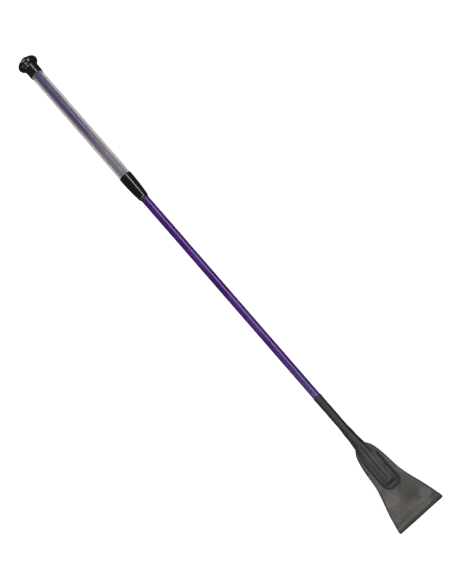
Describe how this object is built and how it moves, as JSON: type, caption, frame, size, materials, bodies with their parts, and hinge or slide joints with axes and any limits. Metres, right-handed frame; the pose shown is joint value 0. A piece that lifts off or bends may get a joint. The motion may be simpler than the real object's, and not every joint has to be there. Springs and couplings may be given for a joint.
{
  "type": "riding crop",
  "caption": "Short riding crop: glossy purple shaft, clear textured grip with black ferrule and knob, and a wide folded black leather flap.",
  "frame": {"origin": "on the shaft's axis, at the middle of the exposed grip, where the hand holds it", "axes": "+X along the shaft from the knob to the flap, +Z out of the flap's front face, Y across the flap"},
  "size_m": [0.65, 0.0592, 0.0238],
  "materials": {
    "glass_fibre": "pultruded glass-fibre rod, satin",
    "purple_gloss": "deep purple plastic, high gloss",
    "black_rubber": "matt moulded rubber",
    "clear_vinyl": "clear soft vinyl with a fine moulded diamond pattern",
    "black_gloss": "polished moulded plastic",
    "zinc_steel": "zinc-plated screw",
    "black_sleeve": "thin satin sleeve, slightly lumpy over the tabs",
    "black_leather": "fine-grained bridle leather, semi-matt",
    "black_thread": "waxed twisted thread"
  },
  "bodies": {
    "crop": {"core_rod": "glass_fibre", "shaft_cover": "purple_gloss", "rod_tip_cap": "black_rubber", "grip_sleeve": "clear_vinyl", "ferrule": "black_gloss", "end_cap": "black_gloss", "cap_button": "black_gloss", "cap_screw": "zinc_steel", "binding_sleeve": "black_sleeve", "tab_whipping": "black_thread", "flap_front_ply": "black_leather", "flap_back_ply": "black_leather", "needle_thread": "black_thread", "bobbin_thread": "black_thread"},
    "flap": {"flap_blade": "black_leather"}
  },
  "joints": [
    {"name": "flap_flex", "type": "hinge", "parent": "crop", "child": "flap", "pos_m": [0.5135, 0, 0], "axis": [0, 1, 0], "range_deg": [-55, 55], "stiffness_Nm_per_rad": 0.12}
  ]
}
